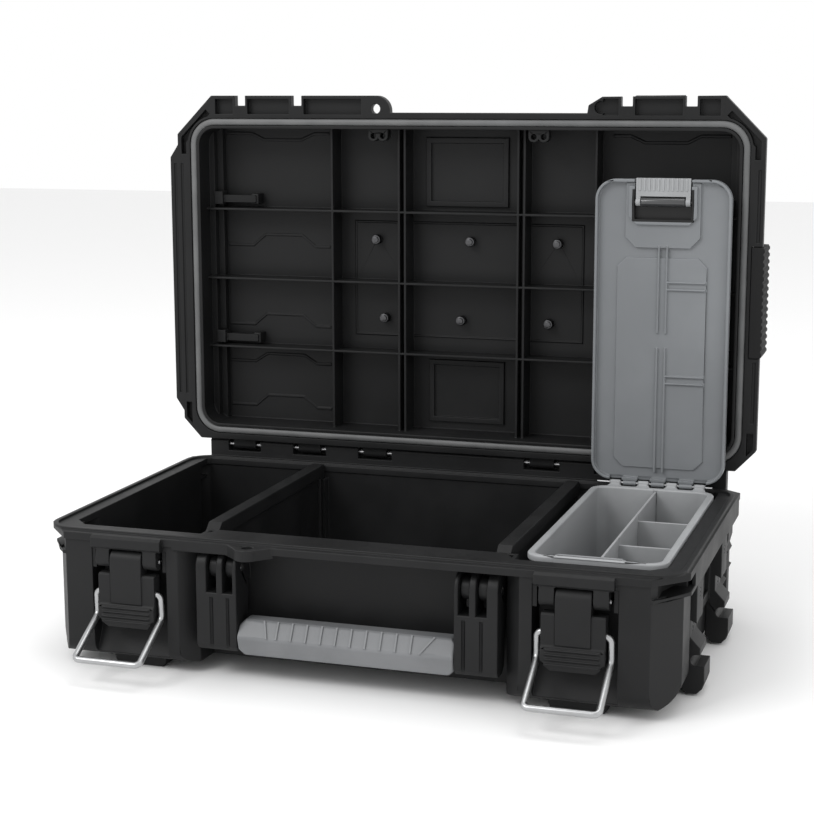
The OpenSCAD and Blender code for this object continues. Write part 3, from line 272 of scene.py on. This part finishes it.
def alone(piece):
    """Selects one piece and makes it the active one."""
    bpy.ops.object.select_all(action="DESELECT")
    bpy.context.view_layer.objects.active = piece
    piece.select_set(True)


def apply(piece, kind, **settings):
    """Adds a modifier with its settings and applies it."""
    alone(piece)
    step = piece.modifiers.new("step", kind)
    for key, value in settings.items():
        setattr(step, key, value)
    bpy.ops.object.modifier_apply(modifier="step")


def ease_edges(piece, width, segments=2, above=32.0):
    """Rounds the sharp edges by a width, then evens out the shading."""
    apply(piece, "BEVEL", width=width, segments=segments, limit_method="ANGLE",
          angle_limit=math.radians(above), use_clamp_overlap=False)
    bpy.ops.object.shade_smooth_by_angle(angle=math.radians(38.0))
    apply(piece, "WEIGHTED_NORMAL", keep_sharp=True, weight=60)


def copy_of(node_name, name):
    """A merged copy of a construction node, ready to be worked on."""
    piece = bpy.data.objects.new(name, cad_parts[node_name].data.copy())
    bpy.context.scene.collection.objects.link(piece)
    piece.data.materials.clear()
    alone(piece)
    bpy.ops.object.mode_set(mode="EDIT")
    bpy.ops.mesh.select_all(action="SELECT")
    bpy.ops.mesh.remove_doubles(threshold=0.000002)
    bpy.ops.object.mode_set(mode="OBJECT")
    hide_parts(node_name)
    return piece


def fit(piece, material, body):
    """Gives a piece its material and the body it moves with."""
    piece.data.materials.append(material)
    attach(piece, body)


case_black = moulded_plastic("case_black", (0.0085, 0.0087, 0.0091), (0.0120, 0.0122, 0.0127),
                             rough=0.50, grain=0.34, edge_highlight_and_worn=0.22, dust=0.02)
base_tub = copy_of("base_shell", "base_tub")
ease_edges(base_tub, 0.0007)
fit(base_tub, case_black, "base")


# ---------------------------------------------------------------------------
# Side rails: two black mouldings with C-shaped hooks and a toothed rear edge,
# each held to a side wall by four screws sunk flush in their counterbores.

for side in ("left", "right"):
    rail = copy_of("side_rail_" + side, "rail_" + side)
    ease_edges(rail, 0.0008)
    fit(rail, case_black, "base")


def plated_steel(name, colour, rough, streak):
    """Plated steel: fine drawing lines along X with soft changes of gloss."""
    made = bpy.data.materials.new(name)
    made.use_nodes = True
    tree = made.node_tree
    join = tree.links.new
    shader = tree.nodes["Principled BSDF"]
    shader.inputs["Metallic"].default_value = 1.0
    coord = node(tree, "ShaderNodeTexCoord")
    stretch = node(tree, "ShaderNodeMapping")
    stretch.inputs["Scale"].default_value = (60.0, 1500.0, 1500.0)
    lines = node(tree, "ShaderNodeTexNoise")
    lines.inputs["Scale"].default_value = 1.0
    lines.inputs["Detail"].default_value = 3.0
    cloud = node(tree, "ShaderNodeTexNoise")
    cloud.inputs["Scale"].default_value = 90.0
    cloud.inputs["Detail"].default_value = 3.0
    join(coord.outputs["Object"], stretch.inputs["Vector"])
    join(stretch.outputs["Vector"], lines.inputs["Vector"])
    join(coord.outputs["Object"], cloud.inputs["Vector"])
    mask, toned = mix_colour(tree, 1.0, [c * 0.8 for c in colour], colour)
    join(cloud.outputs["Fac"], mask)
    join(toned, shader.inputs["Base Color"])
    shine = node(tree, "ShaderNodeMapRange")
    shine.inputs["To Min"].default_value = rough - 0.08
    shine.inputs["To Max"].default_value = rough + 0.1
    join(lines.outputs["Fac"], shine.inputs["Value"])
    join(shine.outputs["Result"], shader.inputs["Roughness"])
    bump = node(tree, "ShaderNodeBump")
    bump.inputs["Strength"].default_value = streak
    bump.inputs["Distance"].default_value = 0.00005
    join(lines.outputs["Fac"], bump.inputs["Height"])
    join(bump.outputs["Normal"], shader.inputs["Normal"])
    return made


def pick_faces(piece, direction, least=0.99):
    """Selects the faces of the piece in edit mode that look one way."""
    bpy.ops.mesh.select_all(action="DESELECT")
    bpy.ops.object.mode_set(mode="OBJECT")
    for face in piece.data.polygons:
        face.select = face.normal.dot(Vector(direction)) > least
    bpy.ops.object.mode_set(mode="EDIT")
    bpy.ops.mesh.select_mode(type="FACE")


def socket_screw(name, head_r, head_h, shank_r, shank_l, recess):
    """Screw along +Z with its head on top: turned, dished and recessed by hand."""
    bpy.ops.object.select_all(action="DESELECT")
    bpy.ops.mesh.primitive_cylinder_add(vertices=36, radius=head_r, depth=head_h,
                                        location=(0.0, 0.0, head_h / 2))
    piece = bpy.context.active_object
    piece.name = name
    bpy.ops.object.transform_apply(location=True)
    bpy.ops.object.mode_set(mode="EDIT")
    pick_faces(piece, (0, 0, -1))
    bpy.ops.mesh.inset(thickness=head_r - shank_r)
    bpy.ops.mesh.extrude_region_move(TRANSFORM_OT_translate={"value": (0, 0, -shank_l)})
    pick_faces(piece, (0, 0, 1))
    bpy.ops.mesh.bevel(offset=head_h * 0.3, segments=3, affect="EDGES")
    pick_faces(piece, (0, 0, 1), 0.9999)
    bpy.ops.mesh.inset(thickness=recess)
    bpy.ops.mesh.extrude_region_move(TRANSFORM_OT_translate={"value": (0, 0, -head_h * 0.5)})
    bpy.ops.mesh.select_all(action="SELECT")
    bpy.ops.mesh.normals_make_consistent(inside=False)
    bpy.ops.object.mode_set(mode="OBJECT")
    bpy.ops.object.shade_smooth_by_angle(angle=math.radians(30.0))
    return piece


def place_copies(model, name, places, turn):
    """Copies of a model, each with its own mesh, set in place and joined into one piece."""
    copies = []
    for place, about in zip(places, turn):
        one = bpy.data.objects.new(name, model.data.copy())
        bpy.context.scene.collection.objects.link(one)
        one.rotation_euler = about
        one.location = place
        copies.append(one)
    bpy.data.objects.remove(model)
    bpy.ops.object.select_all(action="DESELECT")
    for one in copies:
        one.select_set(True)
    bpy.context.view_layer.objects.active = copies[0]
    bpy.ops.object.transform_apply(location=True, rotation=True)
    bpy.ops.object.join()
    copies[0].name = name
    return copies[0]


black_steel = plated_steel("black_steel", (0.05, 0.05, 0.052), rough=0.45, streak=0.2)
low_row, high_row = (0.2581, 0.052), (0.2631, 0.081)
places, turns = [], []
for y in (-0.065, 0.070):
    for seat_x, z in (low_row, high_row):
        for s in (-1, 1):
            places.append((s * seat_x, y, z))
            turns.append((0.0, s * math.radians(90.0), 0.0))
rail_screw = socket_screw("rail_screw", head_r=0.0032, head_h=0.0018, shank_r=0.0015,
                          shank_l=0.007, recess=0.0014)
rail_screws = place_copies(rail_screw, "rail_screws", places, turns)
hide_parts("side_rail_screws")
fit(rail_screws, black_steel, "base")


# ---------------------------------------------------------------------------
# Lid hinge: six drawn steel pins pressed through the raised rear wall of the
# base; only their middles show, on each side of the lid's knuckles.

pin_steel = plated_steel("pin_steel", (0.52, 0.52, 0.53), rough=0.34, streak=0.3)
hinge_rods = copy_of("hinge_pins", "hinge_rods")
ease_edges(hinge_rods, 0.0005)
fit(hinge_rods, pin_steel, "base")


# ---------------------------------------------------------------------------
# Draw latches: a moulded lever with four grip ribs turns on a steel pin under
# the rim, and carries a bail bent from round bright wire, sprung into two holes.

latch_pin_pair = copy_of("latch_pins", "latch_pin_pair")
ease_edges(latch_pin_pair, 0.0006)
fit(latch_pin_pair, pin_steel, "base")

for side in ("left", "right"):
    lever = copy_of("latch_lever_" + side, "lever_" + side)
    ease_edges(lever, 0.0009, 3)
    fit(lever, case_black, "latch_lever_" + side)

wire_steel = plated_steel("wire_steel", (0.46, 0.465, 0.47), rough=0.34, streak=0.2)
latch_x, leg, hole_end = 0.185, 0.0285, 0.0164
wire_r, bend_r = 0.0027, 0.0042
pivot, knee, foot = (-0.1595, 0.067), (-0.1585, 0.047), (-0.202, 0.021)


def wire_path(name, points):
    """A line of edges, drawn by extruding one corner from point to point."""
    bpy.ops.object.select_all(action="DESELECT")
    bpy.ops.mesh.primitive_plane_add(size=0.001, location=(0.0, 0.0, 0.0))
    piece = bpy.context.active_object
    piece.name = name
    bpy.ops.object.mode_set(mode="EDIT")
    bpy.ops.mesh.select_mode(type="VERT")
    bpy.ops.mesh.select_all(action="SELECT")
    bpy.ops.mesh.merge(type="CENTER")
    bpy.ops.transform.translate(value=points[0])
    for here, there in zip(points, points[1:]):
        step = Vector(there) - Vector(here)
        bpy.ops.mesh.extrude_vertices_move(TRANSFORM_OT_translate={"value": step})
    return piece


def to_round_bar(piece, radius, fineness):
    """Turns a line of edges into a round bar with closed ends."""
    alone(piece)
    bpy.ops.object.convert(target="CURVE")
    line = bpy.context.active_object.data
    line.bevel_depth = radius
    line.bevel_resolution = fineness
    line.use_fill_caps = True
    bpy.ops.object.convert(target="MESH")
    bpy.ops.object.mode_set(mode="EDIT")
    bpy.ops.mesh.select_all(action="SELECT")
    bpy.ops.mesh.remove_doubles(threshold=0.00001)
    bpy.ops.mesh.normals_make_consistent(inside=False)
    bpy.ops.object.mode_set(mode="OBJECT")
    bpy.ops.object.shade_smooth_by_angle(angle=math.radians(50.0))
    return bpy.context.active_object


for side, s in (("left", -1), ("right", 1)):
    centre = s * latch_x
    half = [(centre + hole_end, *pivot), (centre + leg, *pivot), (centre + leg, *knee),
            (centre + leg, *foot)]
    other = [(2 * centre - x, y, z) for x, y, z in reversed(half)]
    bail = wire_path("wire_bail_" + side, half + other)
    bpy.ops.mesh.select_all(action="SELECT")
    bpy.ops.mesh.bevel(affect="VERTICES", offset=bend_r, segments=6, profile=0.5)
    bpy.ops.object.mode_set(mode="OBJECT")
    bail = to_round_bar(bail, wire_r, 5)
    bail.name = "wire_bail_" + side
    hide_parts("latch_bail_" + side)
    fit(bail, wire_steel, "latch_bail_" + side)


# ---------------------------------------------------------------------------
# Carrying handle: a black frame whose two arms turn on steel pins between lugs,
# and a grey six-sided sleeve over its bar, with finger grooves cut into its
# upper front facet.

handle_bow = copy_of("handle_frame", "handle_bow")
ease_edges(handle_bow, 0.0011, 3)
fit(handle_bow, case_black, "carry_handle")

handle_pin_pair = copy_of("handle_pins", "handle_pin_pair")
ease_edges(handle_pin_pair, 0.0008)
fit(handle_pin_pair, wire_steel, "base")

grip_grey = moulded_plastic("grip_grey", (0.150, 0.155, 0.161), (0.185, 0.190, 0.197),
                            rough=0.5, grain=0.5, edge_highlight_and_worn=0.20, dust=0.06, scale=700.0, gloss=0.4)
grip_sleeve = copy_of("handle_grip", "grip_sleeve")
ease_edges(grip_sleeve, 0.0016, 3)

facet_low, facet_high = Vector((0.0, -0.160, 0.03812)), Vector((0.0, -0.150, 0.051))
facet_mid = (facet_low + facet_high) / 2
facet_tilt = math.atan2(facet_high.z - facet_low.z, facet_high.y - facet_low.y)
groove_w, groove_deep = 0.0014, 0.0024
groove_l = (facet_high - facet_low).length * 0.93
groove_first, groove_step = -0.0570, 0.01245
grooves = [(groove_first + groove_step * i, math.radians(3.0)) for i in range(10)]
grooves += [(-0.0671, math.radians(17.4)), (0.0679, math.radians(-34.3))]
cutters = []
for x, lean in grooves:
    bpy.ops.object.select_all(action="DESELECT")
    bpy.ops.mesh.primitive_cube_add(size=1.0, location=(0.0, 0.0, 0.0))
    cutter = bpy.context.active_object
    cutter.scale = (groove_w, groove_l / math.cos(lean), groove_deep)
    bpy.ops.object.transform_apply(scale=True)
    cutter.rotation_euler = (0.0, 0.0, lean)
    bpy.ops.object.transform_apply(rotation=True)
    cutter.rotation_euler = (facet_tilt, 0.0, 0.0)
    cutter.location = facet_mid + Vector((x, 0.0, 0.0))
    bpy.ops.object.transform_apply(location=True, rotation=True)
    cutters.append(cutter)
bpy.ops.object.select_all(action="DESELECT")
for cutter in cutters:
    cutter.select_set(True)
bpy.context.view_layer.objects.active = cutters[0]
bpy.ops.object.join()
apply(grip_sleeve, "BOOLEAN", operation="DIFFERENCE", solver="EXACT", object=cutters[0])
bpy.data.objects.remove(cutters[0])
alone(grip_sleeve)
bpy.ops.object.shade_smooth_by_angle(angle=math.radians(30.0))
apply(grip_sleeve, "WEIGHTED_NORMAL", keep_sharp=True, weight=60)
fit(grip_sleeve, grip_grey, "carry_handle")


# ---------------------------------------------------------------------------
# Dividers: two black mouldings with a shallow panel on each face, which drop in
# between guides on the rear wall and the floor.

for side in ("left", "right"):
    wall = copy_of("divider_" + side, "drop_in_divider_" + side)
    ease_edges(wall, 0.0009, 3)
    fit(wall, case_black, "divider_" + side)


# ---------------------------------------------------------------------------
# Lid: a second black moulding, ribbed inside, with a wide flange, latch ears
# and hinge knuckles. It is stored standing open on its hinge.

lid_black = moulded_plastic("lid_black", (0.0078, 0.0080, 0.0083), (0.0110, 0.0112, 0.0116),
                            rough=0.48, grain=0.34, edge_highlight_and_worn=0.35, dust=0.02)
lid_panel = copy_of("lid_shell", "lid_panel")
ease_edges(lid_panel, 0.0006)
fit(lid_panel, lid_black, "lid")


# ---------------------------------------------------------------------------
# Lid seal: a grey foam rubber bead pressed into the groove of the flange, with
# a rounded face that closes on the ridge of the base rim.

seal_grey = moulded_plastic("seal_grey", (0.105, 0.107, 0.108), (0.135, 0.137, 0.138),
                            rough=0.5, grain=0.5, edge_highlight_and_worn=0.0, dust=0.08,
                            scale=1500.0, mottle=30.0, gloss=0.4)
seal_low, seal_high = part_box("lid_seal")
bead_r, seal_corner = 0.0032, 0.022
bpy.ops.object.select_all(action="DESELECT")
bpy.ops.mesh.primitive_plane_add(size=1.0, location=(0.0, 0.0, 0.0),
                                 rotation=(math.radians(90.0), 0.0, 0.0))
bead = bpy.context.active_object
bead.scale = (seal_high[0] - seal_low[0] - 2 * bead_r,
              seal_high[2] - seal_low[2] - 2 * bead_r, 1.0)
bead.location = (0.0, 0.0, (seal_high[2] + seal_low[2]) / 2)
bpy.ops.object.transform_apply(location=True, rotation=True, scale=True)
bpy.ops.object.mode_set(mode="EDIT")
bpy.ops.mesh.select_all(action="SELECT")
bpy.ops.mesh.bevel(affect="VERTICES", offset=seal_corner, segments=14, profile=0.5)
bpy.ops.mesh.select_all(action="SELECT")
bpy.ops.mesh.delete(type="ONLY_FACE")
bpy.ops.object.mode_set(mode="OBJECT")
bead = to_round_bar(bead, bead_r, 6)
bead.name = "seal_bead"
seal_deep = seal_high[1] - seal_low[1]
bead.scale = (1.0, seal_deep / (2 * bead_r), 1.0)
bead.location = (0.0, (seal_high[1] + seal_low[1]) / 2, 0.0)
bpy.ops.object.transform_apply(location=True, scale=True)
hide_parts("lid_seal")
fit(bead, seal_grey, "lid")


# ---------------------------------------------------------------------------
# Outer plate of the lid: a black ribbed moulding screwed on from inside with
# six black cap bolts, whose round heads stand proud of the inner face.

plate_black = moulded_plastic("plate_black", (0.0070, 0.0072, 0.0075), (0.0100, 0.0102, 0.0106),
                              rough=0.52, grain=0.45, edge_highlight_and_worn=0.30, dust=0.02)
rib_plate = copy_of("lid_top_plate", "rib_plate")
ease_edges(rib_plate, 0.0008)
fit(rib_plate, plate_black, "lid")

bolt_black = plated_steel("bolt_black", (0.10, 0.10, 0.104), rough=0.36, streak=0.15)
cap_y = 0.1917
bolt_spots = [(-0.089, 0.328), (0.004, 0.328), (0.088, 0.328),
              (-0.081, 0.253), (-0.005, 0.253), (0.080, 0.253)]
cap_r, cap_h, bolt_shank_r, bolt_shank_l = 0.0045, 0.008, 0.0019, 0.0055
bpy.ops.object.select_all(action="DESELECT")
bpy.ops.mesh.primitive_cylinder_add(vertices=40, radius=cap_r, depth=cap_h,
                                    location=(0.0, 0.0, cap_h / 2))
cap_bolt = bpy.context.active_object
bpy.ops.object.transform_apply(location=True)
bpy.ops.object.mode_set(mode="EDIT")
pick_faces(cap_bolt, (0, 0, -1))
bpy.ops.mesh.inset(thickness=cap_r - bolt_shank_r)
bpy.ops.mesh.extrude_region_move(TRANSFORM_OT_translate={"value": (0, 0, -bolt_shank_l)})
pick_faces(cap_bolt, (0, 0, 1))
bpy.ops.mesh.bevel(offset=0.0009, segments=3, affect="EDGES")
pick_faces(cap_bolt, (0, 0, 1), 0.9999)
bpy.ops.mesh.inset(thickness=0.0006)
bpy.ops.mesh.extrude_region_move(TRANSFORM_OT_translate={"value": (0, 0, 0.0019)})
bpy.ops.mesh.bevel(offset=0.0005, segments=2, affect="EDGES")
bpy.ops.mesh.select_all(action="SELECT")
bpy.ops.mesh.normals_make_consistent(inside=False)
bpy.ops.object.mode_set(mode="OBJECT")
bpy.ops.object.shade_smooth_by_angle(angle=math.radians(30.0))
cap_bolts = place_copies(cap_bolt, "cap_bolts", [(x, cap_y, z) for x, z in bolt_spots],
                         [(math.radians(90.0), 0.0, 0.0)] * len(bolt_spots))
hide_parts("lid_plate_bolts")
fit(cap_bolts, bolt_black, "lid")


# ---------------------------------------------------------------------------
# Tool bars: four black mouldings near the end walls of the lid, each a foot on
# the stepped end wall and a bar that ends on a small post.

tool_bars = copy_of("lid_tool_brackets", "tool_bars")
ease_edges(tool_bars, 0.0008, 3)
fit(tool_bars, lid_black, "lid")


# ---------------------------------------------------------------------------
# Side handle: a mid grey strap on the right end of the lid, held by a screw at
# each end, with a black serrated rubber sleeve clipped over its middle.

handle_grey = moulded_plastic("handle_grey", (0.20, 0.205, 0.21), (0.24, 0.246, 0.252),
                              rough=0.46, grain=0.3, edge_highlight_and_worn=0.2, dust=0.06, gloss=0.4)
side_strap = copy_of("side_handle", "side_strap")
ease_edges(side_strap, 0.0012, 3)
fit(side_strap, handle_grey, "lid")

sleeve_black = moulded_plastic("sleeve_black", (0.0080, 0.0080, 0.0083), (0.0115, 0.0115, 0.0118),
                               rough=0.70, grain=0.6, edge_highlight_and_worn=0.20, dust=0.03, scale=1300.0)
sleeve = copy_of("side_handle_grip", "serrated_sleeve")
ease_edges(sleeve, 0.0006)
fit(sleeve, sleeve_black, "lid")

strap_x, strap_y = 0.26705, 0.1828
strap_screw = socket_screw("strap_screw", head_r=0.0036, head_h=0.0025, shank_r=0.002,
                           shank_l=0.009, recess=0.0016)
strap_screws = place_copies(strap_screw, "strap_screws",
                            [(strap_x, strap_y, z) for z in (0.206, 0.361)],
                            [(0.0, math.radians(90.0), 0.0)] * 2)
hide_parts("side_handle_screws")
fit(strap_screws, pin_steel, "lid")


# ---------------------------------------------------------------------------
# Organiser bin: a pale grey tray with a rolled rim that drops into the right
# compartment, with a long divider and two cross dividers slotted into it.

bin_grey = moulded_plastic("bin_grey", (0.280, 0.287, 0.294), (0.330, 0.338, 0.346),
                           rough=0.42, grain=0.16, edge_highlight_and_worn=0.12, dust=0.03, scale=600.0, gloss=0.4)
for node_name, name, soft in (("organiser_bin", "parts_bin", 0.0016),
                              ("organiser_long_divider", "long_divider", 0.0006),
                              ("organiser_cross_dividers", "cross_dividers", 0.0006)):
    tray = copy_of(node_name, name)
    ease_edges(tray, soft, 3)
    fit(tray, bin_grey, "organiser")


# ---------------------------------------------------------------------------
# Organiser lid: a mid grey moulding with a raised rim, a stepped panel and ribs
# that close on the dividers. A wire pin through seven knuckles hinges it to the
# bin, and a black tray in its front end holds a glossy roller and a finger tab.

lid_grey = moulded_plastic("lid_grey", (0.168, 0.177, 0.186), (0.200, 0.210, 0.220),
                           rough=0.42, grain=0.14, edge_highlight_and_worn=0.20, dust=0.03,
                           scale=600.0, mottle=9.0, gloss=0.35)
box_lid = copy_of("organiser_lid", "box_lid")
ease_edges(box_lid, 0.0007)
fit(box_lid, lid_grey, "organiser_lid")

box_pin = copy_of("organiser_hinge_pin", "box_pin")
ease_edges(box_pin, 0.0003)
fit(box_pin, pin_steel, "organiser")

tray_black = moulded_plastic("tray_black", (0.0040, 0.0040, 0.0042), (0.0060, 0.0060, 0.0063),
                             rough=0.36, grain=0.1, edge_highlight_and_worn=0.25, dust=0.02, gloss=0.35)
latch_tray = copy_of("organiser_latch_frame", "latch_tray")
ease_edges(latch_tray, 0.0004)
fit(latch_tray, tray_black, "organiser_lid")

finger_tab = copy_of("organiser_latch_lever", "finger_tab")
ease_edges(finger_tab, 0.0003)
fit(finger_tab, bin_grey, "organiser_latch")

roller_gloss = moulded_plastic("roller_gloss", (0.034, 0.035, 0.0365), (0.044, 0.045, 0.0465),
                               rough=0.2, grain=0.05, edge_highlight_and_worn=0.2, dust=0.02, gloss=0.5)
roller_gloss.node_tree.nodes["Principled BSDF"].inputs["Coat Weight"].default_value = 0.4
roller_x, roller_y, roller_z = 0.1937, 0.136, 0.3715
roller_half, roller_r, roller_edge = 0.0195, 0.004, 0.001
axle_half, axle_r = 0.0266, 0.0015
bpy.ops.object.select_all(action="DESELECT")
bpy.ops.mesh.primitive_cylinder_add(vertices=40, radius=roller_r, depth=2 * roller_half,
                                    location=(0.0, 0.0, 0.0),
                                    rotation=(0.0, math.radians(90.0), 0.0))
roller = bpy.context.active_object
roller.name = "latch_roller"
bpy.ops.object.transform_apply(rotation=True)
bpy.ops.object.mode_set(mode="EDIT")
for s in (-1, 1):
    pick_faces(roller, (s, 0, 0))
    bpy.ops.mesh.bevel(offset=roller_edge, segments=4, affect="EDGES")
for s in (-1, 1):
    pick_faces(roller, (s, 0, 0), 0.9999)
    bpy.ops.mesh.inset(thickness=roller_r - roller_edge - axle_r)
    bpy.ops.mesh.extrude_region_move(
        TRANSFORM_OT_translate={"value": (s * (axle_half - roller_half), 0, 0)})
bpy.ops.mesh.select_all(action="SELECT")
bpy.ops.mesh.normals_make_consistent(inside=False)
bpy.ops.object.mode_set(mode="OBJECT")
roller.location = (roller_x, roller_y, roller_z)
bpy.ops.object.transform_apply(location=True)
bpy.ops.object.shade_smooth_by_angle(angle=math.radians(35.0))
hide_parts("organiser_latch_roller")
fit(roller, roller_gloss, "organiser_lid")
